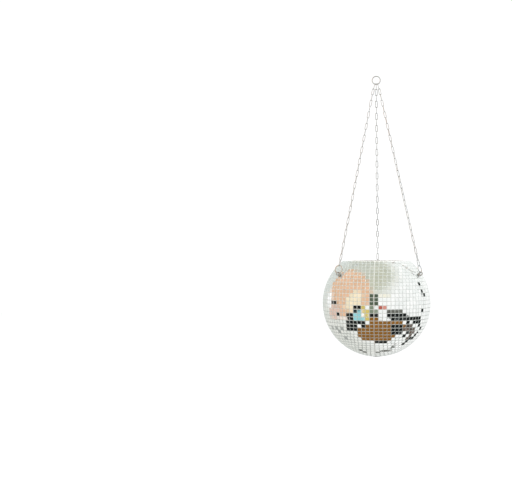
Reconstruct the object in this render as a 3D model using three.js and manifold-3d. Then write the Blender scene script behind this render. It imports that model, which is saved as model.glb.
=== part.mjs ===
// A mirror ball planter: a hollow ball with its top cut off flat, clad in rows of small mirror
// tiles, and hung from one ring by three strands of fine chain.
// Millimetres, +Z up. The origin is the hanging point, where a hook bears inside the top ring.
// The front faces -Y, and the strands are named as they are seen from there.
import * as THREE from "three";
import { mergeVertices } from "three/addons/utils/BufferGeometryUtils.js";
import Module from "manifold-3d";

const wasm = await Module();
wasm.setup();

// --- Driving dimensions -------------------------------------------------------------------

const CLEARANCE = 0.3; // between two pieces that touch on the real object

// The ball
const BALL_RADIUS = 100; // to the outer corners of the mirror tiles
const BALL_DROP = 422; // from the hanging point down to the ball's centre
const TILE_THICKNESS = 1.8;
const SHELL_RADIUS = 97.8; // outside of the moulded shell, under the tiles
const SHELL_WALL = 3;
const LIP_HEIGHT = 4; // the lower half's lip inside the upper half, at the seam
const RIM_HEIGHT = 79.1; // the flat rim above the ball's centre
const FACETS = 24; // flats around the ball
const SHELL_STEP = 8; // degrees of latitude between the shell's rings of corners

// The rows of mirror tiles
const ROW_COUNT = 34;
const ROW_STEP = 4; // degrees of latitude from one row to the next
const FIRST_ROW_TOP = 52; // latitude of the first row's upper edge
const ROW_GAP = 0.5; // millimetres between two rows

// The drain hole in the bottom and its rubber plug
const DRAIN_RADIUS = 6;
const PLUG_HEAD_RADIUS = 9.5;
const PLUG_HEAD_THICKNESS = 2.4;
const PLUG_STEM_RADIUS = 5.6;
const PLUG_TIP_RADIUS = 4.8;
const PLUG_STEM_LENGTH = 9;

// The top ring, which a hook holds
const TOP_RING_RADIUS = 7.5; // to the middle of its wire
const TOP_RING_WIRE = 2;

// The chain
const LINK_WIRE = 1.2;
const LINK_LENGTH = 12.3; // between the middles of the wire at a link's two ends
const LINK_WIDTH = 3.6; // between the middles of the wire at a link's two sides
const LINK_CORNER = 1.3; // taken off a link's outer corners
const LINK_COUNT = 30; // on each strand, below the first link
const FAN = 18.5; // degrees between neighbouring first links on the top ring

// The split rings at the strands' lower ends, and the screw eyes that hold them
const SPLIT_RING_RADIUS = 7.2;
const SPLIT_RING_WIRE = 1.6;
const EYE_LATITUDE = 32;
const EYE_CENTRE = 105; // from the ball's centre to the middle of the eye
const EYE_RADIUS = 3;
const EYE_WIRE = 2;
const SHANK_RADIUS = 1.5;
const SHANK_END = 89; // the shank's inner end, from the ball's centre
const COLLAR_RADIUS = 3.6;
const COLLAR_SPAN = [100.7, 102]; // from the ball's centre
const SHANK_HOLE_RADIUS = 2;
const WASHER_RADIUS = 4.5;
const WASHER_SPAN = [92.6, 93.4];
const NUT_ACROSS_CORNERS = 6.35;
const NUT_SPAN = [89.9, 92.3];

// Where the strands meet the ball: degrees round from the front, and how far each split ring has
// swivelled in its eye. The holes are drilled by hand, so they are not quite at thirds.
const STRANDS = [
  { side: "left", azimuth: -51.5, fan: -FAN, swivel: 26 },
  { side: "back", azimuth: 178, fan: 0, swivel: 0 },
  { side: "right", azimuth: 65, fan: FAN, swivel: 0 },
];

const radians = THREE.MathUtils.degToRad;
const X = new THREE.Vector3(1, 0, 0);
const Y = new THREE.Vector3(0, 1, 0);

// --- Materials ----------------------------------------------------------------------------

const mirrorGlass = new THREE.MeshStandardMaterial({
  color: 0xdde3e2,
  roughness: 0.05,
  metalness: 1,
});
const whitePlastic = new THREE.MeshStandardMaterial({
  color: 0xf1efe9,
  roughness: 0.45,
  metalness: 0,
});
const nickelPlate = new THREE.MeshStandardMaterial({
  color: 0xc4c3be,
  roughness: 0.22,
  metalness: 1,
});
const zincPlate = new THREE.MeshStandardMaterial({
  color: 0xa9abab,
  roughness: 0.4,
  metalness: 1,
});
const greyRubber = new THREE.MeshStandardMaterial({
  color: 0x8f9190,
  roughness: 0.85,
  metalness: 0,
});

// --- Helpers ------------------------------------------------------------------------------

// A closed geometry as a manifold-3d solid.
function toSolid(geometry) {
  const bare = geometry.clone();
  bare.deleteAttribute("normal");
  bare.deleteAttribute("uv");
  const merged = mergeVertices(bare, 1e-4);
  return new wasm.Manifold(
    new wasm.Mesh({
      numProp: 3,
      vertProperties: merged.attributes.position.array,
      triVerts: new Uint32Array(merged.index.array),
    }),
  );
}

// A manifold-3d solid as a three.js geometry.
function toGeometry(solid) {
  const mesh = solid.getMesh();
  const geometry = new THREE.BufferGeometry();
  geometry.setAttribute(
    "position",
    new THREE.BufferAttribute(new Float32Array(mesh.vertProperties), 3),
  );
  geometry.setIndex(new THREE.BufferAttribute(mesh.triVerts, 1));
  geometry.computeVertexNormals();
  return geometry;
}

function join(geometries) {
  return toGeometry(geometries.map(toSolid).reduce((a, b) => a.add(b)));
}

function cut(geometry, tools) {
  return toGeometry(tools.map(toSolid).reduce((a, b) => a.subtract(b), toSolid(geometry)));
}

function named(name, geometry, material) {
  const mesh = new THREE.Mesh(geometry, material);
  mesh.name = name;
  return mesh;
}

// The frame with its x along `across` and its y along `up`, at `at`.
function frame(across, up, at) {
  const x = across.clone().normalize();
  const y = up.clone().normalize();
  const matrix = new THREE.Matrix4().makeBasis(x, y, x.clone().cross(y));
  return matrix.setPosition(at);
}

// A point on the ball's profile: distance from the vertical axis, and height.
function onArc(radius, latitude) {
  const a = radians(latitude);
  return new THREE.Vector2(radius * Math.cos(a), radius * Math.sin(a));
}

// The arc of the profile from one latitude to another, both ends included.
function arc(radius, from, to) {
  const steps = Math.ceil(Math.abs(to - from) / SHELL_STEP);
  return Array.from({ length: steps + 1 }, (_, i) =>
    onArc(radius, from + ((to - from) * i) / steps),
  );
}

// A closed profile turned about the vertical axis.
function turned(profile, facets = FACETS) {
  const closed = [...profile, profile[0]];
  return new THREE.LatheGeometry(closed, facets).rotateX(Math.PI / 2);
}

// A round bar along `axis`, between two distances from the ball's centre.
function bar(radius, [from, to], axis, sides) {
  const upright = new THREE.CylinderGeometry(radius, radius, to - from, sides);
  const turn = new THREE.Quaternion().setFromUnitVectors(Y, axis);
  const middle = axis.clone().multiplyScalar((from + to) / 2);
  return upright.applyQuaternion(turn).translate(middle.x, middle.y, middle.z);
}

// A flat outline with a round hole in it, extruded along `axis` between two distances.
function pierced(outline, [from, to], axis) {
  const hole = new THREE.Path().absarc(0, 0, SHANK_RADIUS + CLEARANCE, 0, 2 * Math.PI, true);
  outline.holes.push(hole);
  const turn = new THREE.Quaternion().setFromUnitVectors(new THREE.Vector3(0, 0, 1), axis);
  return new THREE.ExtrudeGeometry(outline, {
    depth: to - from,
    bevelEnabled: false,
    curveSegments: 5,
  })
    .translate(0, 0, from)
    .applyQuaternion(turn);
}

// --- The ball -----------------------------------------------------------------------------

function eyeAxis(azimuth) {
  const { x: outwards, y: upwards } = onArc(1, EYE_LATITUDE);
  const a = radians(azimuth);
  return new THREE.Vector3(outwards * Math.sin(a), -outwards * Math.cos(a), upwards);
}

const shankHoles = () =>
  STRANDS.map((s) =>
    bar(SHANK_HOLE_RADIUS, [SHANK_END, COLLAR_SPAN[1]], eyeAxis(s.azimuth), 10),
  );

// The shell is moulded in two halves, joined round the ball's middle by a lap half a wall thick.
const SHELL_INSIDE = SHELL_RADIUS - SHELL_WALL;
const LAP_RADIUS = SHELL_RADIUS - SHELL_WALL / 2;
const latitudeAt = (radius, height) => THREE.MathUtils.radToDeg(Math.asin(height / radius));

// The upper half runs from the seam to the flat rim.
function upperShell() {
  const lapTop = LIP_HEIGHT + CLEARANCE;
  const lapOutside = LAP_RADIUS + CLEARANCE / 2;
  const profile = [
    ...arc(
      SHELL_RADIUS,
      latitudeAt(SHELL_RADIUS, CLEARANCE),
      latitudeAt(SHELL_RADIUS, RIM_HEIGHT),
    ),
    ...arc(SHELL_INSIDE, latitudeAt(SHELL_INSIDE, RIM_HEIGHT), latitudeAt(SHELL_INSIDE, lapTop)),
    new THREE.Vector2(lapOutside, lapTop),
    new THREE.Vector2(lapOutside, CLEARANCE),
  ];
  return cut(turned(profile), shankHoles());
}

// The lower half runs from the drain hole to the seam, where its lip stands up.
function lowerShell() {
  const drainAt = (radius) => -THREE.MathUtils.radToDeg(Math.acos(DRAIN_RADIUS / radius));
  const lipOutside = LAP_RADIUS - CLEARANCE / 2;
  const profile = [
    ...arc(SHELL_RADIUS, drainAt(SHELL_RADIUS), 0),
    new THREE.Vector2(lipOutside, 0),
    new THREE.Vector2(lipOutside, LIP_HEIGHT),
    new THREE.Vector2(SHELL_INSIDE, LIP_HEIGHT),
    ...arc(SHELL_INSIDE, 0, drainAt(SHELL_INSIDE)),
  ];
  return turned(profile);
}

// One row of tiles on its backing strip, as a flat-sided hoop.
function mirrorRow(index) {
  const halfGap = THREE.MathUtils.radToDeg(ROW_GAP / 2 / BALL_RADIUS);
  const top = FIRST_ROW_TOP - index * ROW_STEP - halfGap;
  const bottom = FIRST_ROW_TOP - (index + 1) * ROW_STEP + halfGap;
  const back = BALL_RADIUS - TILE_THICKNESS;
  const hoop = turned([
    onArc(BALL_RADIUS, bottom),
    onArc(BALL_RADIUS, top),
    onArc(back, top),
    onArc(back, bottom),
  ]);
  const reach = ROW_STEP / 2 + THREE.MathUtils.radToDeg(SHANK_HOLE_RADIUS / BALL_RADIUS);
  const drilled = Math.abs((top + bottom) / 2 - EYE_LATITUDE) < reach;
  return drilled ? cut(hoop, shankHoles()) : hoop;
}

function drainPlug() {
  const headTop = -SHELL_RADIUS - CLEARANCE;
  const profile = [
    new THREE.Vector2(0, headTop - PLUG_HEAD_THICKNESS),
    new THREE.Vector2(PLUG_HEAD_RADIUS * 0.7, headTop - PLUG_HEAD_THICKNESS),
    new THREE.Vector2(PLUG_HEAD_RADIUS, headTop - PLUG_HEAD_THICKNESS * 0.45),
    new THREE.Vector2(PLUG_HEAD_RADIUS, headTop),
    new THREE.Vector2(PLUG_STEM_RADIUS, headTop),
    new THREE.Vector2(PLUG_STEM_RADIUS, headTop + PLUG_STEM_LENGTH * 0.7),
    new THREE.Vector2(PLUG_TIP_RADIUS, headTop + PLUG_STEM_LENGTH),
    new THREE.Vector2(0, headTop + PLUG_STEM_LENGTH),
  ];
  return new THREE.LatheGeometry(profile, 20).rotateX(Math.PI / 2);
}

// A screw eye: its shank runs through the wall, its collar sits on the tiles and its eye stands
// upright outside them.
function screwEye(azimuth) {
  const axis = eyeAxis(azimuth);
  const tangent = new THREE.Vector3(Math.cos(radians(azimuth)), Math.sin(radians(azimuth)), 0);
  const upright = axis.clone().cross(tangent);
  const eye = new THREE.TorusGeometry(EYE_RADIUS, EYE_WIRE / 2, 6, 12).applyMatrix4(
    frame(axis, upright, axis.clone().multiplyScalar(EYE_CENTRE)),
  );
  const shank = bar(SHANK_RADIUS, [SHANK_END, EYE_CENTRE - EYE_RADIUS], axis, 10);
  return join([eye, shank, bar(COLLAR_RADIUS, COLLAR_SPAN, axis, 12)]);
}

function washer(azimuth) {
  const outline = new THREE.Shape().absarc(0, 0, WASHER_RADIUS, 0, 2 * Math.PI, false);
  return pierced(outline, WASHER_SPAN, eyeAxis(azimuth));
}

function hexNut(azimuth) {
  const corners = Array.from({ length: 6 }, (_, i) =>
    new THREE.Vector2(NUT_ACROSS_CORNERS / 2, 0).rotateAround(
      new THREE.Vector2(),
      (i * Math.PI) / 3,
    ),
  );
  return pierced(new THREE.Shape(corners), NUT_SPAN, eyeAxis(azimuth));
}

const ball = new THREE.Group();
ball.position.z = -BALL_DROP;
ball.add(named("upper_shell", upperShell(), whitePlastic));
ball.add(named("lower_shell", lowerShell(), whitePlastic));
ball.add(named("drain_plug", drainPlug(), greyRubber));
for (let i = 0; i < ROW_COUNT; i++) {
  const number = String(i + 1).padStart(2, "0");
  ball.add(named("mirror_row_" + number, mirrorRow(i), mirrorGlass));
}
for (const { side, azimuth } of STRANDS) {
  ball.add(named("screw_eye_" + side, screwEye(azimuth), zincPlate));
  ball.add(named("washer_" + side, washer(azimuth), zincPlate));
  ball.add(named("hex_nut_" + side, hexNut(azimuth), zincPlate));
}

// --- The top ring and the chains ------------------------------------------------------------

// The ring stands in the plane of X and Z, and the origin is inside it at the top.
const ringCentre = new THREE.Vector3(0, 0, TOP_RING_WIRE / 2 - TOP_RING_RADIUS);

// One link of square wire, lying in the plane of x and y with its length along y and its middle
// at the origin. Its ends are straight, with the outer corners taken off.
function link() {
  const half = LINK_WIRE / 2;
  const x = LINK_WIDTH / 2;
  const y = LINK_LENGTH / 2;
  const corner = (right, top) => [
    new THREE.Vector2(right * (x + half), top * (y + half - LINK_CORNER)),
    new THREE.Vector2(right * (x + half - LINK_CORNER), top * (y + half)),
  ];
  const outline = new THREE.Shape([
    ...corner(1, 1),
    ...corner(-1, 1).reverse(),
    ...corner(-1, -1),
    ...corner(1, -1).reverse(),
  ]);
  const opening = [
    [1, 1],
    [-1, 1],
    [-1, -1],
    [1, -1],
  ].map(([right, top]) => new THREE.Vector2(right * (x - half), top * (y - half)));
  outline.holes.push(new THREE.Path(opening));
  return new THREE.ExtrudeGeometry(outline, {
    depth: LINK_WIRE,
    bevelEnabled: false,
  }).translate(0, 0, -half);
}

// The first link hangs square to the ring's wire; its upper end is inside the ring.
function firstLink(fan) {
  const down = new THREE.Vector3(Math.sin(radians(fan)), 0, -Math.cos(radians(fan)));
  const upperEnd = TOP_RING_RADIUS - (TOP_RING_WIRE + LINK_WIRE) / 2 - CLEARANCE;
  const middle = ringCentre.clone().addScaledVector(down, upperEnd + LINK_LENGTH / 2);
  const nextStart = upperEnd + LINK_LENGTH - LINK_WIRE - CLEARANCE;
  return {
    geometry: link().applyMatrix4(frame(Y, down.clone().negate(), middle)),
    next: ringCentre.clone().addScaledVector(down, nextStart),
  };
}

// A strand runs straight from its first link to the split ring that hangs in its screw eye. Its
// links lie alternately in two planes at right angles, and those planes turn slowly along it.
function strand({ azimuth, fan, swivel }) {
  const first = firstLink(fan);
  const start = first.next;
  const eye = eyeAxis(azimuth).multiplyScalar(EYE_CENTRE);
  eye.z -= BALL_DROP;
  const down = eye.clone().sub(start).normalize();
  const slack = EYE_RADIUS - (EYE_WIRE + SPLIT_RING_WIRE) / 2 - CLEARANCE;
  const ringBottom = start.distanceTo(eye) - slack;
  const ringMiddle = ringBottom - SPLIT_RING_RADIUS;
  const ringSeat = (LINK_WIRE + SPLIT_RING_WIRE) / 2 + CLEARANCE;
  const lastMiddle = ringMiddle - SPLIT_RING_RADIUS + ringSeat - LINK_LENGTH / 2;
  const secondMiddle = LINK_LENGTH / 2;
  const thirdMiddle = secondMiddle + LINK_LENGTH - LINK_WIRE - CLEARANCE;
  const pitch = (lastMiddle - thirdMiddle) / (LINK_COUNT - 2);

  // `level` is the level direction nearest to X, square to the strand; `roll` turns it.
  const level = X.clone().addScaledVector(down, -X.dot(down)).normalize();
  const tangentAngle = azimuth > 90 ? azimuth - 180 : azimuth;
  const endRoll = radians(tangentAngle + (tangentAngle < 0 ? swivel : -swivel));
  const across = (roll) => level.clone().applyAxisAngle(down, -roll);
  const place = (geometry, distance, direction) =>
    geometry.applyMatrix4(
      frame(direction, down.clone().negate(), start.clone().addScaledVector(down, distance)),
    );
  const linkAt = (index) => {
    const distance = index === 0 ? secondMiddle : thirdMiddle + (index - 1) * pitch;
    const roll = (endRoll * index) / LINK_COUNT + (index % 2) * (Math.PI / 2);
    return place(link(), distance, across(roll));
  };
  const rest = Array.from({ length: LINK_COUNT - 1 }, (_, i) => linkAt(i + 1));
  const ring = new THREE.TorusGeometry(SPLIT_RING_RADIUS, SPLIT_RING_WIRE / 2, 6, 18);
  return {
    first: first.geometry,
    second: linkAt(0),
    chain: join(rest),
    ring: place(ring, ringMiddle, across(endRoll)),
  };
}

const topRing = new THREE.TorusGeometry(TOP_RING_RADIUS, TOP_RING_WIRE / 2, 6, 28)
  .rotateX(Math.PI / 2)
  .translate(ringCentre.x, ringCentre.y, ringCentre.z);

const chains = new THREE.Group();
chains.add(named("top_ring", topRing, nickelPlate));
for (const spec of STRANDS) {
  const made = strand(spec);
  chains.add(named("first_link_" + spec.side, made.first, nickelPlate));
  chains.add(named("second_link_" + spec.side, made.second, nickelPlate));
  chains.add(named("chain_" + spec.side, made.chain, nickelPlate));
  chains.add(named("split_ring_" + spec.side, made.ring, nickelPlate));
}

const planter = new THREE.Group();
planter.add(ball, chains);

export default planter;
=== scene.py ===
"""The looks of the mirror ball planter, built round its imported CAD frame.

Metres, +Z up, the front towards -Y. Places come from the frame's own boxes. Sizes that a box
can't give are named here, in millimetres times MM.
"""

import math
import random

import bmesh
import bpy
import numpy as np
from mathutils import Matrix, Vector

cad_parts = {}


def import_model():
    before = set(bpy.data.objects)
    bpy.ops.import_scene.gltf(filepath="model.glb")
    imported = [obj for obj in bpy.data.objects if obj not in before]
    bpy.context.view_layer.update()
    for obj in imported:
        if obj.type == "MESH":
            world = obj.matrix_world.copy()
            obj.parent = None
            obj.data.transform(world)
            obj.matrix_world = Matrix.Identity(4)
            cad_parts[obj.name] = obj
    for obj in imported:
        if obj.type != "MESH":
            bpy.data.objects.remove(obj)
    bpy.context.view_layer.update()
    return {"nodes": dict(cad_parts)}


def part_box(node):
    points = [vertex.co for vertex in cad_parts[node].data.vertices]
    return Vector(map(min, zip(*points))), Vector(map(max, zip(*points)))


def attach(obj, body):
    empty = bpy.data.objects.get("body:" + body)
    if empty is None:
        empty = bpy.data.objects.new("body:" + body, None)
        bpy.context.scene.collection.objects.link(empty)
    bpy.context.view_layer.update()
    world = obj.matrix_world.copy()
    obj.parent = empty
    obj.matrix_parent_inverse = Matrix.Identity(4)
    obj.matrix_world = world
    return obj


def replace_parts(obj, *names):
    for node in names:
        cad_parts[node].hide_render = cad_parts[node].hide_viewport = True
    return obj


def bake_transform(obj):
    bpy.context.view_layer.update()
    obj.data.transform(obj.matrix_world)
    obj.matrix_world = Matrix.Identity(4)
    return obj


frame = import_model()

MM = 0.001
SIDES = ("left", "back", "right")
X, Y, Z = Vector((1, 0, 0)), Vector((0, 1, 0)), Vector((0, 0, 1))

# --- Places from the frame ------------------------------------------------------------------


def middle(node):
    low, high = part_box(node)
    return (low + high) / 2


def corners(node):
    return np.array([vertex.co for vertex in frame["nodes"][node].data.vertices])


def thin_axis(node):
    """The direction in which a flat node, such as a ring, is thinnest."""
    points = corners(node)
    return Vector(np.linalg.svd(points - points.mean(0), full_matrices=False)[2][-1])


def reach(node, start, axis):
    """How far a node goes from `start` along `axis`: its nearest and farthest point."""
    along = (corners(node) - np.array(start)) @ np.array(axis)
    return float(along.min()), float(along.max())


def square_to(direction, axis):
    """The part of `direction` that is square to `axis`, one unit long."""
    return (direction - axis * direction.dot(axis)).normalized()


ROWS = sorted(name for name in frame["nodes"] if name.startswith("mirror_row_"))
WIDEST = max(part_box(row)[1].x for row in ROWS)
MIDDLE_ROWS = [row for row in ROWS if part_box(row)[1].x > WIDEST - 0.01 * MM]
CENTRE = Vector((0, 0, sum(middle(row).z for row in MIDDLE_ROWS) / len(MIDDLE_ROWS)))
BALL_RADIUS = WIDEST
SHELL_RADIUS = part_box("lower_shell")[1].x
RIM_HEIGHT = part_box("upper_shell")[1].z - CENTRE.z
EYE_AXES = {side: (middle(f"washer_{side}") - CENTRE).normalized() for side in SIDES}

# --- Sizes ----------------------------------------------------------------------------------

# The tiles. The ones in a row are cut alike and start at one seam, which is near the front.
HOOP_MIDDLE = BALL_RADIUS - 0.9 * MM  # the middle of the CAD rows' thickness
TILE_PITCH = 7.55 * MM
TILE_WIDTH = 6.9 * MM
TILE_HEIGHT = 6.3 * MM
TILE_THICKNESS = 1.2 * MM
TILE_BEVEL = 0.22 * MM
TILE_BEVEL_DEPTH = 0.12 * MM
LEAST_GAP = 0.3 * MM  # between two tiles in a row, at their edge nearer a pole
SEAM_GAP = 0.8 * MM
SEAM_AZIMUTH = -2.5  # degrees round from the front
TILE_TILT = 0.8  # degrees: how far a tile may lean from the ball's true round
TILE_TWIST = 0.7  # degrees: how far it may turn in its place
TILE_SHIFT = 0.07 * MM
FACE_RADIUS = math.sqrt(BALL_RADIUS**2 - (TILE_WIDTH**2 + TILE_HEIGHT**2) / 4)

# The backing that the tiles are stuck to
BACKING_OUTSIDE = FACE_RADIUS - 0.75 * MM
BACKING_TOP = 51.7  # degrees of latitude
BACKING_BOTTOM = -84.2

# The shell
SHELL_WALL = 3 * MM
LIP_HEIGHT = 4 * MM
SEAM_CLEARANCE = 0.3 * MM
RIM_ROUNDING = 0.5 * MM
DRAIN_RADIUS = 6 * MM

# The fixings
SHANK_HOLE_RADIUS = 1.8 * MM
SHANK_RADIUS = 1.5 * MM
THREAD_PITCH = 0.7 * MM
THREAD_DEPTH = 0.35 * MM
EYE_RADIUS = 3 * MM
EYE_WIRE = 2 * MM
EYE_OPENING = 16  # degrees left open beside the neck
COLLAR_RADIUS = 3.6 * MM
COLLAR_SPAN = (100.7 * MM, 102 * MM)
WASHER_RADIUS = 4.5 * MM
NUT_ACROSS_FLATS = 5.5 * MM
NUT_BORE = 1.7 * MM
NUT_THREAD = 0.12 * MM  # how far the nut's thread reaches from the bore's middle size

# The drain plug
PLUG_HEAD = 2.4 * MM
PLUG_STEM_RADIUS = 5.6 * MM

# The chain and rings
LINK_WIRE = 1.2 * MM
LINK_LENGTH = 12.3 * MM
LINK_WIDTH = 3.6 * MM
LINK_JOINT = 0.12 * MM  # the butt joint in the side of each link
LINK_COUNT = 30  # on a strand, from the second one down
NEXT_LINK = 10.8 * MM  # from the second link's middle to the third's
LAST_LINK = 11.65 * MM  # from the last link's middle to the split ring's
SPLIT_RING_RADIUS = 7.2 * MM
SPLIT_RING_COIL = 0.76 * MM  # the thickness of one of its two coils
SPLIT_RING_FACE = 1.5 * MM
TOP_RING_RADIUS = 7.5 * MM
TOP_RING_WIRE = 2 * MM

rng = random.Random(11)

# --- Materials ------------------------------------------------------------------------------


class Finish:
    """A material with a Principled shader, and short ways to add noise to it."""

    def __init__(self, name, color, metallic, roughness, **constants):
        self.material = bpy.data.materials.new(name)
        self.material.use_nodes = True
        self.tree = self.material.node_tree
        self.shader = self.tree.nodes["Principled BSDF"]
        self.shader.inputs["Base Color"].default_value = (*color, 1)
        self.shader.inputs["Metallic"].default_value = metallic
        self.shader.inputs["Roughness"].default_value = roughness
        for socket, value in constants.items():
            self.shader.inputs[socket.replace("_", " ")].default_value = value
        self.material.diffuse_color = (*color, 1)

    def node(self, kind, **values):
        made = self.tree.nodes.new(kind)
        for key, value in values.items():
            if key in made.inputs:
                made.inputs[key].default_value = value
            else:
                setattr(made, key, value)
        return made

    def link(self, source, target):
        self.tree.links.new(source, target)

    def noise(self, scale, detail=4.0, stretch=(1, 1, 1)):
        """Noise in the object's own space, from about 0 to 1."""
        place = self.node("ShaderNodeTexCoord")
        mapping = self.node("ShaderNodeMapping", Scale=stretch)
        noise = self.node("ShaderNodeTexNoise", Scale=scale, Detail=detail)
        self.link(place.outputs["Object"], mapping.inputs["Vector"])
        self.link(mapping.outputs["Vector"], noise.inputs["Vector"])
        return noise.outputs["Fac"]

    def spread(self, source, low, high, start=0.3, end=0.7):
        """`source`, from start to end, as a number from low to high."""
        ramp = self.node("ShaderNodeMapRange")
        for key, value in zip(("From Min", "From Max", "To Min", "To Max"), (start, end, low, high)):
            ramp.inputs[key].default_value = value
        self.link(source, ramp.inputs["Value"])
        return ramp.outputs["Result"]

    def between(self, source, first, second):
        """A colour that goes from `first` to `second` with `source`."""
        mix = self.node("ShaderNodeMix", data_type="RGBA")
        self.link(source, mix.inputs["Factor"])
        low, high = (socket for socket in mix.inputs if socket.type == "RGBA")
        low.default_value = (*first, 1)
        high.default_value = (*second, 1)
        return next(out for out in mix.outputs if out.type == "RGBA")

    def color(self, source):
        self.link(source, self.shader.inputs["Base Color"])

    def roughness(self, source):
        self.link(source, self.shader.inputs["Roughness"])

    def bump(self, source, strength, distance):
        bump = self.node("ShaderNodeBump", Strength=strength, Distance=distance)
        self.link(source, bump.inputs["Height"])
        self.link(bump.outputs["Normal"], self.shader.inputs["Normal"])


def mirror_finish():
    """Silvered glass. No two tiles are quite alike, and each has faint smears."""
    made = Finish("mirror_glass", (0.9, 0.91, 0.9), 1.0, 0.03)
    tone = made.node("ShaderNodeAttribute", attribute_name="tone")
    made.color(made.between(tone.outputs["Fac"], (0.84, 0.86, 0.85), (0.96, 0.96, 0.955)))
    made.roughness(made.spread(made.noise(90), 0.015, 0.07))
    made.bump(made.noise(45, detail=1.0), 0.03, 0.5 * MM)
    return made.material


def glass_edge_finish():
    """The ground edges of the tiles, pale and a little green."""
    made = Finish("glass_edge", (0.64, 0.68, 0.66), 0.0, 0.35, Coat_Weight=0.3)
    made.color(made.between(made.noise(300), (0.52, 0.57, 0.54), (0.76, 0.79, 0.77)))
    made.roughness(made.spread(made.noise(500), 0.25, 0.45))
    return made.material


def backing_finish():
    """The silvery adhesive under the tiles, which shows in the gaps."""
    made = Finish("tile_backing", (0.86, 0.86, 0.84), 0.75, 0.35)
    made.color(made.between(made.noise(160), (0.8, 0.8, 0.78), (0.92, 0.92, 0.9)))
    made.roughness(made.spread(made.noise(400), 0.28, 0.42))
    made.bump(made.noise(1800), 0.4, 0.1 * MM)
    return made.material


def shell_finish():
    """Moulded white plastic, with a fine grain and slow shifts of tone."""
    made = Finish("shell_plastic", (0.79, 0.78, 0.75), 0.0, 0.45)
    made.color(made.between(made.noise(14), (0.76, 0.75, 0.71), (0.82, 0.81, 0.79)))
    made.roughness(made.spread(made.noise(120), 0.38, 0.52))
    made.bump(made.noise(1400), 0.25, 0.08 * MM)
    return made.material


def nickel_finish():
    """Bright nickel plate on drawn wire, duller where it rubs."""
    made = Finish("chain_nickel", (0.6, 0.59, 0.57), 1.0, 0.25)
    made.color(made.between(made.noise(260), (0.55, 0.58, 0.61), (0.76, 0.8, 0.84)))
    made.roughness(made.spread(made.noise(700), 0.16, 0.38))
    return made.material


def zinc_finish():
    """Zinc plate, faintly streaked along the part."""
    made = Finish("fixing_zinc", (0.6, 0.61, 0.62), 1.0, 0.38)
    made.color(made.between(made.noise(420), (0.48, 0.5, 0.52), (0.68, 0.69, 0.69)))
    made.roughness(made.spread(made.noise(900, stretch=(1, 1, 0.2)), 0.28, 0.5))
    made.bump(made.noise(1500), 0.15, 0.05 * MM)
    return made.material


def rubber_finish():
    """Grey moulded rubber with a dusty bloom."""
    made = Finish("plug_rubber", (0.3, 0.31, 0.3), 0.0, 0.8)
    made.color(made.between(made.noise(220), (0.24, 0.25, 0.24), (0.38, 0.39, 0.38)))
    made.roughness(made.spread(made.noise(350), 0.68, 0.9))
    made.bump(made.noise(1100), 0.3, 0.08 * MM)
    return made.material


MIRROR = mirror_finish()
GLASS_EDGE = glass_edge_finish()
BACKING = backing_finish()
SHELL = shell_finish()
NICKEL = nickel_finish()
ZINC = zinc_finish()
RUBBER = rubber_finish()

# --- Mesh helpers ---------------------------------------------------------------------------


def basis(x, y, at):
    """The matrix of a frame with its x and y along two square directions, at a point."""
    return Matrix.Translation(at) @ Matrix((x, y, x.cross(y))).transposed().to_4x4()


def eye_frame(side):
    """A frame at the ball's middle with its z along one screw eye: its matrix and its y."""
    axis = EYE_AXES[side]
    across = square_to(Z, axis).cross(axis).normalized()
    upright = axis.cross(across)
    return basis(across, upright, CENTRE), upright


def skin(mesh, rings, loop=False):
    """Quads between rings of points. The last ring joins the first in a loop; otherwise both
    end rings are filled."""
    rows = [[mesh.verts.new(point) for point in ring] for ring in rings]
    pairs = list(zip(rows, rows[1:]))
    if loop:
        pairs.append((rows[-1], rows[0]))
    for a, b in pairs:
        for i in range(len(a)):
            j = (i + 1) % len(a)
            mesh.faces.new((a[i], a[j], b[j], b[i]))
    if not loop:
        mesh.faces.new(rows[0][::-1])
        mesh.faces.new(rows[-1])


def turned(mesh, profile, segments, matrix, loop=False, reshape=None):
    """A profile of (radius, height) turned about the local z. reshape(radius, angle, height)
    may change a point's radius."""
    rings = []
    for radius, height in profile:
        ring = []
        for i in range(segments):
            angle = 2 * math.pi * i / segments
            r = reshape(radius, angle, height) if reshape else radius
            ring.append(matrix @ Vector((r * math.cos(angle), r * math.sin(angle), height)))
        rings.append(ring)
    skin(mesh, rings, loop)


def round_section(radius, sides):
    turns = [2 * math.pi * i / sides for i in range(sides)]
    return [(radius * math.cos(a), radius * math.sin(a)) for a in turns]


def flat_section(wide, thick, sides=12):
    """An oblong section with rounded edges."""
    made = []
    for i in range(sides):
        a = 2 * math.pi * (i + 0.5) / sides
        c, s = math.cos(a), math.sin(a)
        made.append((wide / 2 * math.copysign(abs(c) ** 0.5, c),
                     thick / 2 * math.copysign(abs(s) ** 0.5, s)))
    return made


def swept(mesh, path, normal, section, loop=False):
    """A section carried along a path that lies in, or close to, the plane square to `normal`."""
    count = len(path)
    rings = []
    for i, point in enumerate(path):
        before = path[i - 1] if loop or i else point
        after = path[(i + 1) % count] if loop or i + 1 < count else point
        side = normal.cross(after - before).normalized()
        rings.append([point + side * a + normal * b for a, b in section])
    skin(mesh, rings, loop)


def arc_points(radius, start, end, steps):
    """Points (radius * cos, radius * sin) from one angle to another, in degrees."""
    angles = [math.radians(start + (end - start) * i / steps) for i in range(steps + 1)]
    return [(radius * math.cos(a), radius * math.sin(a)) for a in angles]


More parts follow.
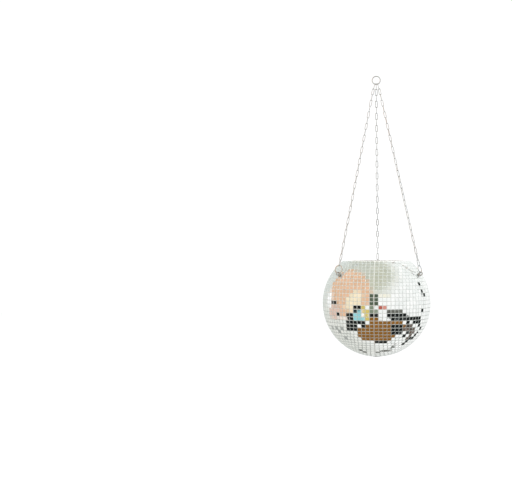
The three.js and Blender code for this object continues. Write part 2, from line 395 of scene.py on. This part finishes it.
def piece(name, mesh, materials, smooth=35):
    """An object from a bmesh. Edges sharper than `smooth` degrees stay sharp."""
    bmesh.ops.recalc_face_normals(mesh, faces=mesh.faces)
    data = bpy.data.meshes.new(name)
    mesh.to_mesh(data)
    mesh.free()
    for material in materials:
        data.materials.append(material)
    if smooth:
        data.polygons.foreach_set("use_smooth", [True] * len(data.polygons))
        data.set_sharp_from_angle(angle=math.radians(smooth))
    made = bpy.data.objects.new(name, data)
    bpy.context.scene.collection.objects.link(made)
    return made


def combined(target, tool, operation):
    """`target` with `tool` joined to it or cut from it, for good."""
    modifier = target.modifiers.new("cut", "BOOLEAN")
    modifier.operation = operation
    modifier.solver = "EXACT"
    modifier.object = tool
    bpy.context.view_layer.update()
    result = target.evaluated_get(bpy.context.evaluated_depsgraph_get())
    data = bpy.data.meshes.new_from_object(result)
    target.modifiers.clear()
    target.data = data
    return target


def shank_drill():
    """Three bars along the screw eyes' shanks, to cut their holes with."""
    mesh = bmesh.new()
    ends = [(SHANK_HOLE_RADIUS, SHELL_RADIUS - 8 * MM), (SHANK_HOLE_RADIUS, BALL_RADIUS + MM)]
    for side in SIDES:
        turned(mesh, ends, 24, eye_frame(side)[0])
    return piece("shank_drill", mesh, [SHELL])


# --- The ball -------------------------------------------------------------------------------


def latitude_of(row):
    return math.asin((middle(row).z - CENTRE.z) / HOOP_MIDDLE)


def tile(mesh, tone_layer, centre, right, up, width):
    """One tile: a bevelled mirror face in front of ground glass sides."""
    out = right.cross(up)
    tilt = [math.radians(rng.uniform(-TILE_TILT, TILE_TILT)) for _ in range(2)]
    twist = math.radians(rng.uniform(-TILE_TWIST, TILE_TWIST))
    turn = Matrix.Rotation(tilt[0], 3, right) @ Matrix.Rotation(tilt[1], 3, up)
    turn = turn @ Matrix.Rotation(twist, 3, out)
    shift = [rng.uniform(-TILE_SHIFT, TILE_SHIFT) for _ in range(2)]
    tone = rng.random()
    centre = centre + right * shift[0] + up * shift[1]
    w, h = width / 2, TILE_HEIGHT / 2

    def ring(inset, depth):
        return [
            mesh.verts.new(centre + turn @ (right * x * (w - inset) + up * y * (h - inset)
                                            - out * depth))
            for x, y in ((-1, -1), (1, -1), (1, 1), (-1, 1))
        ]

    back = ring(0, TILE_THICKNESS)
    edge = ring(0, TILE_BEVEL_DEPTH)
    face = ring(TILE_BEVEL, 0)
    made = [mesh.faces.new(back[::-1])]
    for a, b in ((back, edge), (edge, face)):
        for i in range(4):
            j = (i + 1) % 4
            made.append(mesh.faces.new((a[i], a[j], b[j], b[i])))
    front = mesh.faces.new(face)
    for side in made:
        side.material_index = 1
    for one in [*made, front]:
        one[tone_layer] = tone


def tile_row(row):
    """All the tiles of one row, from the seam round to the seam."""
    latitude = latitude_of(row)
    level = Vector((0, 0, math.sin(latitude)))
    around = 2 * math.pi * FACE_RADIUS * math.cos(latitude) - SEAM_GAP
    poleward = abs(latitude) + TILE_HEIGHT / 2 / FACE_RADIUS
    narrow = 2 * math.pi * FACE_RADIUS * math.cos(poleward) - SEAM_GAP
    count = min(round(around / TILE_PITCH), int(narrow / (TILE_WIDTH + LEAST_GAP)))
    mesh = bmesh.new()
    tone_layer = mesh.faces.layers.float.new("tone")
    for k in range(count):
        share = (SEAM_GAP / 2 + (k + 0.5) * around / count) / (around + SEAM_GAP)
        azimuth = math.radians(SEAM_AZIMUTH) + 2 * math.pi * share
        outwards = Vector((math.sin(azimuth), -math.cos(azimuth), 0))
        right = Vector((math.cos(azimuth), math.sin(azimuth), 0))
        normal = outwards * math.cos(latitude) + level
        tile(mesh, tone_layer, CENTRE + normal * FACE_RADIUS, right, normal.cross(right), TILE_WIDTH)
    made = piece(row.replace("mirror_row", "mirror_tiles"), mesh, [MIRROR, GLASS_EDGE],
                 smooth=None)
    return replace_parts(made, row)


def shell_half(name, profile, drill=None):
    mesh = bmesh.new()
    turned(mesh, profile, 144, Matrix.Translation(CENTRE), loop=True)
    made = piece(name.replace("shell", "moulding"), mesh, [SHELL])
    if drill:
        combined(made, drill, "DIFFERENCE")
    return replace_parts(made, name)


def ball_pieces():
    """The shell's two halves, the backing and the rows of tiles."""
    drill = shank_drill()
    inside = SHELL_RADIUS - SHELL_WALL
    lap = SHELL_RADIUS - SHELL_WALL / 2
    rim = [math.degrees(math.asin((RIM_HEIGHT - RIM_ROUNDING) / r)) for r in (SHELL_RADIUS, inside)]
    rim_edge = [math.sqrt(r**2 - RIM_HEIGHT**2) for r in (SHELL_RADIUS, inside)]
    foot = [-math.degrees(math.acos(DRAIN_RADIUS / r)) for r in (SHELL_RADIUS, inside)]
    upper = [
        *arc_points(SHELL_RADIUS, 0.2, rim[0], 16),
        (rim_edge[0] - RIM_ROUNDING * 0.1, RIM_HEIGHT - RIM_ROUNDING * 0.3),
        (rim_edge[0] - RIM_ROUNDING, RIM_HEIGHT),
        (rim_edge[1] + RIM_ROUNDING, RIM_HEIGHT),
        (rim_edge[1] + RIM_ROUNDING * 0.1, RIM_HEIGHT - RIM_ROUNDING * 0.3),
        *arc_points(inside, rim[1], 2.6, 16),
        (lap + SEAM_CLEARANCE / 2, LIP_HEIGHT + SEAM_CLEARANCE),
        (lap + SEAM_CLEARANCE / 2, SEAM_CLEARANCE),
    ]
    lower = [
        *arc_points(SHELL_RADIUS, foot[0], 0, 30),
        (lap - SEAM_CLEARANCE / 2, 0),
        (lap - SEAM_CLEARANCE / 2, LIP_HEIGHT - RIM_ROUNDING),
        (lap - SEAM_CLEARANCE / 2 - RIM_ROUNDING / 2, LIP_HEIGHT),
        (inside, LIP_HEIGHT),
        *arc_points(inside, 0, foot[1], 30),
    ]
    made = [shell_half("upper_shell", upper, drill), shell_half("lower_shell", lower)]

    mesh = bmesh.new()
    skin_profile = [
        *arc_points(BACKING_OUTSIDE, BACKING_BOTTOM, BACKING_TOP, 48),
        *arc_points(SHELL_RADIUS + 0.05 * MM, BACKING_TOP, BACKING_BOTTOM, 48),
    ]
    turned(mesh, skin_profile, 144, Matrix.Translation(CENTRE), loop=True)
    backing = piece("tile_backing", mesh, [BACKING])
    made.append(combined(backing, drill, "DIFFERENCE"))

    eye_height = min(axis.z for axis in EYE_AXES.values())
    for row in ROWS:
        tiles = tile_row(row)
        if abs(math.sin(latitude_of(row)) - eye_height) < 0.08:
            combined(tiles, drill, "DIFFERENCE")
        made.append(tiles)
    bpy.data.objects.remove(drill)
    for one in made:
        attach(one, "ball")


# --- The fixings ----------------------------------------------------------------------------


def threaded(radius, angle, height):
    """A screw thread cut into a bar of full radius."""
    turn = (height / THREAD_PITCH - angle / (2 * math.pi)) % 1
    return radius - THREAD_DEPTH * abs(2 * turn - 1)


def screw_eye(side):
    """A bent wire eye on a collar and a threaded shank."""
    node = f"screw_eye_{side}"
    axis = EYE_AXES[side]
    turn, upright = eye_frame(side)
    shank_end, eye_top = reach(node, CENTRE, axis)
    eye_middle = eye_top - EYE_RADIUS - EYE_WIRE / 2
    steps = round((COLLAR_SPAN[0] - shank_end) / (THREAD_PITCH / 6))
    shank = [(SHANK_RADIUS - THREAD_DEPTH, shank_end)]
    for i in range(steps):
        shank.append((SHANK_RADIUS, shank_end + 0.2 * MM + (COLLAR_SPAN[0] - shank_end) * i / steps))
    top = COLLAR_SPAN[1]
    collar = [
        (COLLAR_RADIUS - 0.25 * MM, COLLAR_SPAN[0]),
        (COLLAR_RADIUS, COLLAR_SPAN[0] + 0.25 * MM),
        (COLLAR_RADIUS, top - 0.3 * MM),
        (COLLAR_RADIUS - 0.3 * MM, top),
        (EYE_WIRE / 2 + 0.4 * MM, top),
        (EYE_WIRE / 2, top + 0.5 * MM),
        (EYE_WIRE / 2 - 0.1 * MM, top + MM),
    ]
    plain = COLLAR_SPAN[0] - 0.05 * MM

    def cut_thread(radius, angle, height):
        return threaded(radius, angle, height) if shank_end < height < plain else radius

    mesh = bmesh.new()
    profile = [point for point in shank if point[1] < plain] + collar
    turned(mesh, profile, 24, turn, reshape=cut_thread)
    body = piece(f"eye_screw_{side}", mesh, [ZINC], smooth=50)

    mesh = bmesh.new()
    loop = arc_points(EYE_RADIUS, -180, 180 - EYE_OPENING, 30)
    path = [CENTRE + axis * (eye_middle + x) + upright * y for x, y in loop]
    swept(mesh, path, axis.cross(upright).normalized(), round_section(EYE_WIRE / 2, 14))
    wire = piece("eye_wire", mesh, [ZINC])
    combined(body, wire, "UNION")
    bpy.data.objects.remove(wire)
    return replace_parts(body, node)


def washer(side):
    node = f"washer_{side}"
    low, high = reach(node, CENTRE, EYE_AXES[side])
    edge = 0.12 * MM
    outer, bore = WASHER_RADIUS, SHANK_HOLE_RADIUS
    profile = [
        (bore + edge, low), (outer - edge, low), (outer, low + edge), (outer, high - edge * 2),
        (outer - edge * 2, high), (bore + edge, high), (bore, high - edge), (bore, low + edge),
    ]
    mesh = bmesh.new()
    turned(mesh, profile, 48, eye_frame(side)[0], loop=True)
    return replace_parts(piece(f"plain_washer_{side}", mesh, [ZINC]), node)


def hex_nut(side):
    node = f"hex_nut_{side}"
    low, high = reach(node, CENTRE, EYE_AXES[side])
    corner = NUT_ACROSS_FLATS / math.sqrt(3)
    chamfer = 0.35 * MM
    steps = 12
    bore = [
        (NUT_BORE, high - (high - low) * (i + 0.5) / steps) for i in range(steps)
    ]
    profile = [
        (NUT_BORE + chamfer, low),
        (corner - chamfer * 1.2, low),
        (corner, low + chamfer),
        (corner, high - chamfer),
        (corner - chamfer * 1.2, high),
        (NUT_BORE + chamfer, high),
        *bore,
    ]

    def hexagon(radius, angle, height):
        if radius <= NUT_BORE:
            return radius + NUT_THREAD * math.cos(2 * math.pi * height / THREAD_PITCH - angle)
        sixth = math.pi / 3
        flat = NUT_ACROSS_FLATS / 2 / math.cos(angle % sixth - sixth / 2)
        return min(radius, flat)

    mesh = bmesh.new()
    turned(mesh, profile, 72, eye_frame(side)[0], loop=True, reshape=hexagon)
    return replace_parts(piece(f"nut_{side}", mesh, [ZINC], smooth=25), node)


def drain_plug():
    """A turned rubber plug: a domed head with a ridge to grip, and a stem with a swelling."""
    low, high = (point.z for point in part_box("drain_plug"))
    head_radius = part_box("drain_plug")[1].x
    head_top = low + PLUG_HEAD
    tip = high - head_top
    profile = [
        (0.3 * MM, low + 0.25 * MM), (1.6 * MM, low + 0.2 * MM), (2.1 * MM, low),
        (2.9 * MM, low), (3.4 * MM, low + 0.35 * MM), (4.6 * MM, low + 0.45 * MM),
        (head_radius * 0.72, low + 0.3 * MM), (head_radius * 0.9, low + 0.8 * MM),
        (head_radius * 0.985, low + 1.4 * MM), (head_radius, low + 1.9 * MM),
        (head_radius * 0.99, head_top - 0.15 * MM), (head_radius * 0.97, head_top),
        (6 * MM, head_top), (PLUG_STEM_RADIUS, head_top + 0.3 * MM),
        (PLUG_STEM_RADIUS - 0.1 * MM, head_top + tip * 0.3),
        (PLUG_STEM_RADIUS, head_top + tip * 0.45), (PLUG_STEM_RADIUS, head_top + tip * 0.62),
        (5.3 * MM, head_top + tip * 0.8), (4.8 * MM, high - 0.5 * MM), (4.2 * MM, high),
        (0.3 * MM, high - 0.1 * MM),
    ]
    mesh = bmesh.new()
    turned(mesh, profile, 64, Matrix.Identity(4))
    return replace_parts(piece("rubber_plug", mesh, [RUBBER], smooth=60), "drain_plug")


# --- The rings and chains -------------------------------------------------------------------


def link(mesh, at, across, down):
    """One oval link of round wire. Its butt joint is in the middle of one long side."""
    bend = LINK_WIDTH / 2
    straight = LINK_LENGTH / 2 - bend
    outline = [(bend, -LINK_JOINT / 2)]
    outline += [(x, y - straight) for x, y in arc_points(bend, 0, -180, 8)]
    outline += [(x, y + straight) for x, y in arc_points(bend, 180, 0, 8)]
    outline += [(bend, LINK_JOINT / 2)]
    path = [at + across * x - down * y for x, y in outline]
    swept(mesh, path, across.cross(down).normalized(), round_section(LINK_WIRE / 2, 8))


def strand(side):
    """The links of one strand, from the top ring to the split ring."""
    ring_middle = middle("top_ring")
    first = middle(f"first_link_{side}")
    second = middle(f"second_link_{side}")
    ring = middle(f"split_ring_{side}")
    down = (ring - second).normalized()
    level = square_to(X, down)
    across_ring = thin_axis(f"split_ring_{side}").cross(down)
    if across_ring.x < 0:
        across_ring = -across_ring
    end_roll = math.atan2(level.cross(across_ring).dot(down), level.dot(across_ring))

    mesh = bmesh.new()
    link(mesh, first, Y, (first - ring_middle).normalized())
    top = piece(f"ring_link_{side}", mesh, [NICKEL])
    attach(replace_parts(top, f"first_link_{side}"), "first_links")

    mesh = bmesh.new()
    link(mesh, second, level, down)
    joiner = piece(f"joining_link_{side}", mesh, [NICKEL])
    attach(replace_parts(joiner, f"second_link_{side}"), "second_links")

    mesh = bmesh.new()
    pitch = ((ring - second).length - NEXT_LINK - LAST_LINK) / (LINK_COUNT - 2)
    for index in range(1, LINK_COUNT):
        roll = end_roll * index / LINK_COUNT + (index % 2) * math.pi / 2
        at = second + down * (NEXT_LINK + (index - 1) * pitch)
        link(mesh, at, Matrix.Rotation(roll, 3, down) @ level, down)
    chain = piece(f"chain_strand_{side}", mesh, [NICKEL])
    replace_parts(chain, f"chain_{side}")
    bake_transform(chain)


def split_ring(side):
    """Two turns of flattened wire, side by side."""
    node = f"split_ring_{side}"
    at = middle(node)
    normal = thin_axis(node)
    first = square_to(Z, normal)
    second = normal.cross(first)
    turns, steps = 2, 48
    count = turns * steps - 3
    path = []
    for i in range(count + 1):
        angle = 2 * math.pi * i / steps
        rise = SPLIT_RING_COIL * (i / count - 0.5)
        point = first * math.cos(angle) + second * math.sin(angle)
        path.append(at + point * SPLIT_RING_RADIUS + normal * rise)
    mesh = bmesh.new()
    swept(mesh, path, normal, flat_section(SPLIT_RING_FACE, SPLIT_RING_COIL * 0.94))
    made = piece(f"key_ring_{side}", mesh, [NICKEL])
    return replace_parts(made, node)


def top_ring():
    """A ring of round wire, closed with a butt joint low on one side."""
    at = middle("top_ring")
    circle = arc_points(TOP_RING_RADIUS, -118, 240.8, 96)
    mesh = bmesh.new()
    swept(mesh, [at + X * x + Z * z for x, z in circle], Y, round_section(TOP_RING_WIRE / 2, 20))
    made = piece("hanging_ring", mesh, [NICKEL])
    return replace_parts(made, "top_ring")


ball_pieces()
for side in SIDES:
    strand(side)
    for maker in (split_ring, screw_eye, washer, hex_nut):
        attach(maker(side), "ball")
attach(drain_plug(), "plug")
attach(top_ring(), "ring")

# --- The studio -----------------------------------------------------------------------------

FLOOR_DROP = 0.3  # below the ball's lowest point
CARD_DISTANCE = 1.9
CARD_STEP = 0.006  # each card is this much nearer than the one before it

ORANGE = (0.85, 0.54, 0.35)
PINK = (0.8, 0.58, 0.48)
CREAM = (1.0, 0.86, 0.62)
IVORY = (1.0, 0.96, 0.82)
BROWN = (0.285, 0.125, 0.024)
BLACK = (0.012, 0.014, 0.014)
UMBER = (0.16, 0.12, 0.1)
SLATE = (0.1, 0.13, 0.09)
MOSS = (0.25, 0.3, 0.22)
CYAN = (0.33, 0.7, 0.74)
OLIVE = (0.7, 0.56, 0.16)
RED = (0.5, 0.13, 0.1)
ROSE = (0.78, 0.34, 0.28)
ASH = (0.16, 0.16, 0.14)
GREY = (0.42, 0.43, 0.41)
WHITE = (1.1, 1.1, 1.1)

# The coloured cards round the ball, which show only in reflections: where each one is, in
# degrees round from the front towards the right and up from level; how many degrees wide and
# high it looks; and its colour. The ovals fade out over the given share of their radius.
OVALS = (
    ("warm", (-67, 18), (114, 93), ORANGE, 0.25),
    ("warm_low", (-100, -13), (48, 26), PINK, 0.4),
    ("left_light", (-116, 2), (30, 24), WHITE, 0.5),
    ("warm_middle", (-50, 6), (54, 56), CREAM, 0.5),
    ("right_glow", (17, 16), (24, 14), IVORY, 0.5),
)
BOXES = (
    ("front", (-4, 9), (16, 23), SLATE),
    ("front_lower", (-8, -12), (14, 17), MOSS),
    ("front_foot", (-4, -23), (17, 6), BLACK),
    ("right_top", (37, -13), (40, 5), ASH),
    ("right", (46, -23), (42, 14), BLACK),
    ("right_end", (95, -24), (50, 8), BLACK),
    ("rose", (14, -6), (9, 8), ROSE),
    ("red", (8, -8), (6, 9), RED),
    ("white", (13, -23), (16, 7), WHITE),
    ("left_top", (-40, -10), (22, 10), BLACK),
    ("left_outer", (-58, -25), (17, 12), BLACK),
    ("left_blue", (-39, -23), (18, 24), CYAN),
    ("left_yellow", (-23, -19), (10, 30), OLIVE),
    ("left_low", (-54, -41), (42, 17), BLACK),
    ("left_spot", (-47, -44), (8, 5), WHITE),
)
# Small square cards strewn over a stretch: its middle, its width and height, how many there
# are, how big each one looks, and their colour
SCATTERS = (
    ("left", (-100, -6), (24, 26), 7, 5, BLACK),
    ("lower_left", (-118, -36), (40, 26), 12, 4, GREY),
    ("limb", (116, 0), (12, 44), 10, 6, BLACK),
    ("lower_right", (112, -34), (58, 26), 16, 6, BLACK),
    ("warm_right", (100, -38), (44, 16), 8, 6, UMBER),
    ("behind", (165, -55), (70, 20), 7, 6, ASH),
)
# Flat cards under the ball: corners right of and behind its middle, in units of their depth
FLATS = (
    ("brown", BROWN, (
        (-0.36, -0.08), (-0.75, -0.35), (-0.62, -0.7), (-0.45, -1.15), (-0.6, -1.95),
        (0.16, -1.95), (0.25, -1.55), (1.35, -0.88), (1.3, -0.2), (0.36, -0.08),
    )),
    # The dark card is a painted shadow on that table top, seen only in reflections
    ("dark", BLACK, ((0.43, -0.3), (0.68, -0.98), (1.4, -0.35), (0.7, -0.07))),
    ("dark_edge", BLACK, ((-0.04, -0.09), (0.42, -0.07), (0.42, 0.05), (-0.04, 0.02))),
)
FLAT_DEPTH = 1.3
# What the room looks like in reflections, away from its darker stretches
ROOM = (1.04, 1.05, 1.04)
# Each lamp's name, where it is, in degrees round from the front towards the right and up from
# level and in metres away, how many metres wide it is, and its power in watts
LAMPS = (
    ("key_light", -35, 55, 1.8, 0.7, 12),
    ("fill_light", 25, 33, 2.0, 0.5, 9),
    ("top_light", 20, 76, 1.7, 0.25, 10),
)


def look_at(obj, target):
    obj.rotation_mode = "QUATERNION"
    obj.rotation_quaternion = (target - obj.location).to_track_quat("-Z", "Y")


def direction(azimuth, elevation):
    a, e = math.radians(azimuth), math.radians(elevation)
    return Vector((math.sin(a) * math.cos(e), -math.cos(a) * math.cos(e), math.sin(e)))


def glow(name, color, softness=0.0):
    """Light of one colour. With softness it fades out towards the edge of a round card."""
    material = bpy.data.materials.new(name)
    material.use_nodes = True
    tree = material.node_tree
    tree.nodes.clear()
    emission = tree.nodes.new("ShaderNodeEmission")
    emission.inputs["Color"].default_value = (*color, 1)
    output = tree.nodes.new("ShaderNodeOutputMaterial")
    surface = emission.outputs["Emission"]
    if softness:
        place = tree.nodes.new("ShaderNodeTexCoord")
        mapping = tree.nodes.new("ShaderNodeMapping")
        mapping.inputs["Location"].default_value = (-1, -1, 0)
        mapping.inputs["Scale"].default_value = (2, 2, 0)
        gradient = tree.nodes.new("ShaderNodeTexGradient")
        gradient.gradient_type = "SPHERICAL"
        ramp = tree.nodes.new("ShaderNodeMapRange")
        ramp.interpolation_type = "SMOOTHSTEP"
        ramp.inputs["From Max"].default_value = softness
        clear = tree.nodes.new("ShaderNodeBsdfTransparent")
        mix = tree.nodes.new("ShaderNodeMixShader")
        tree.links.new(place.outputs["Generated"], mapping.inputs["Vector"])
        tree.links.new(mapping.outputs["Vector"], gradient.inputs["Vector"])
        tree.links.new(gradient.outputs["Fac"], ramp.inputs["Value"])
        tree.links.new(ramp.outputs["Result"], mix.inputs["Fac"])
        tree.links.new(clear.outputs["BSDF"], mix.inputs[1])
        tree.links.new(surface, mix.inputs[2])
        surface = mix.outputs["Shader"]
    tree.links.new(surface, output.inputs["Surface"])
    return material


def sheet(name, outline, material):
    """A flat polygon from its corners."""
    data = bpy.data.meshes.new(name)
    data.from_pydata([(x, y, 0) for x, y in outline], [], [range(len(outline))])
    data.materials.append(material)
    made = bpy.data.objects.new(name, data)
    bpy.context.scene.collection.objects.link(made)
    return made


def reflected_only(card):
    card.visible_camera = False
    card.visible_diffuse = False
    card.visible_shadow = False


def strewn():
    """The small cards of every scatter, in the form of BOXES."""
    made = []
    for name, (azimuth, elevation), (width, height), count, size, color in SCATTERS:
        for index in range(count):
            place = (azimuth + width * (rng.random() - 0.5), elevation + height * (rng.random() - 0.5))
            made.append((f"{name}_{index}", place, (size, size), color))
    return made


def cards():
    every = [*OVALS, *((*box, 0.0) for box in (*strewn(), *BOXES))]
    for index, (name, (azimuth, elevation), size, color, softness) in enumerate(every):
        distance = CARD_DISTANCE - CARD_STEP * index
        w, h = (distance * math.tan(math.radians(a / 2)) for a in size)
        outline = [(-w, -h), (w, -h), (w, h), (-w, h)]
        card = sheet(f"card_{name}", outline, glow(f"card_{name}", color, softness))
        card.location = CENTRE + direction(azimuth, elevation) * distance
        look_at(card, CENTRE)
        reflected_only(card)
    for index, (name, color, outline) in enumerate(FLATS):
        depth = FLAT_DEPTH - CARD_STEP * index
        outline = [(x * depth, y * depth) for x, y in outline]
        card = sheet(f"card_{name}", outline, glow(f"card_{name}", color))
        card.location = CENTRE - Z * depth
        reflected_only(card)


def floor():
    paint = Finish("studio_floor", (0.96, 0.96, 0.96), 0.0, 0.9)
    half = 6
    made = sheet("floor", [(-half, -half), (half, -half), (half, half), (-half, half)],
                 paint.material)
    made.location.z = CENTRE.z - BALL_RADIUS - FLOOR_DROP
    made.visible_glossy = False
    made.visible_diffuse = False


def lamp(name, azimuth, elevation, distance, size, watts):
    data = bpy.data.lights.new(name, "AREA")
    data.shape = "DISK"
    data.size = size
    data.energy = watts
    made = bpy.data.objects.new(name, data)
    bpy.context.scene.collection.objects.link(made)
    made.location = CENTRE + direction(azimuth, elevation) * distance
    look_at(made, CENTRE)
    made.visible_glossy = False
    made.visible_camera = False


def world():
    """White all round, but less bright from straight below. For reflections, a pale room
    whose ceiling is greener and darker towards the front, and greyer at the back."""
    made = bpy.data.worlds.new("studio")
    bpy.context.scene.world = made
    made.use_nodes = True
    tree = made.node_tree
    tree.nodes.clear()
    place = tree.nodes.new("ShaderNodeTexCoord")
    shades = (
        # direction, cosine where it starts and where it is full, colour
        (direction(-24, 62), 0.48, 0.93, (0.6, 0.61, 0.49)),
        (direction(-112, 52), 0.55, 0.95, (0.6, 0.62, 0.54)),
        (direction(-148, 0), 0.5, 0.95, (0.72, 0.76, 0.73)),
        (direction(-130, -40), 0.6, 0.95, (0.82, 0.83, 0.78)),
    )
    color = None
    for towards, start, full, shade in shades:
        dot = tree.nodes.new("ShaderNodeVectorMath")
        dot.operation = "DOT_PRODUCT"
        dot.inputs[1].default_value = towards
        tree.links.new(place.outputs["Generated"], dot.inputs[0])
        ramp = tree.nodes.new("ShaderNodeMapRange")
        ramp.interpolation_type = "SMOOTHSTEP"
        ramp.inputs["From Min"].default_value = start
        ramp.inputs["From Max"].default_value = full
        tree.links.new(dot.outputs["Value"], ramp.inputs["Value"])
        mix = tree.nodes.new("ShaderNodeMixRGB")
        mix.inputs["Color1"].default_value = (*ROOM, 1)
        mix.inputs["Color2"].default_value = (*shade, 1)
        tree.links.new(ramp.outputs["Result"], mix.inputs["Fac"])
        if color:
            tree.links.new(color, mix.inputs["Color1"])
        color = mix.outputs["Color"]
    height = tree.nodes.new("ShaderNodeSeparateXYZ")
    tree.links.new(place.outputs["Generated"], height.inputs["Vector"])
    white = tree.nodes.new("ShaderNodeMapRange")
    for key, value in (("From Min", -0.6), ("From Max", -0.1), ("To Min", 0.3), ("To Max", 1.06)):
        white.inputs[key].default_value = value
    tree.links.new(height.outputs["Z"], white.inputs["Value"])
    path = tree.nodes.new("ShaderNodeLightPath")
    seen = tree.nodes.new("ShaderNodeMixRGB")
    tree.links.new(white.outputs["Result"], seen.inputs["Color1"])
    tree.links.new(path.outputs["Is Glossy Ray"], seen.inputs["Fac"])
    tree.links.new(color, seen.inputs["Color2"])
    background = tree.nodes.new("ShaderNodeBackground")
    tree.links.new(seen.outputs["Color"], background.inputs["Color"])
    output = tree.nodes.new("ShaderNodeOutputWorld")
    tree.links.new(background.outputs["Background"], output.inputs["Surface"])


CAMERA_DISTANCE = 2.0
CAMERA_LENS = 74.7
CAMERA_RISE = 2.88  # degrees above the ball's middle, about level with the rim
CAMERA_TURN = 6.46  # degrees to the left of the ball, which hangs right of the frame's middle


def camera():
    data = bpy.data.cameras.new("camera")
    data.lens = CAMERA_LENS
    data.sensor_width = 36
    made = bpy.data.objects.new("camera", data)
    bpy.context.scene.collection.objects.link(made)
    made.location = CENTRE + direction(0, CAMERA_RISE) * CAMERA_DISTANCE
    turn = math.radians(CAMERA_TURN)
    ahead = Vector((-math.sin(turn), math.cos(turn), 0))
    look_at(made, made.location + ahead)
    bpy.context.scene.camera = made


floor()
cards()
for settings in LAMPS:
    lamp(*settings)
world()
camera()
bpy.context.scene.view_settings.view_transform = "Standard"
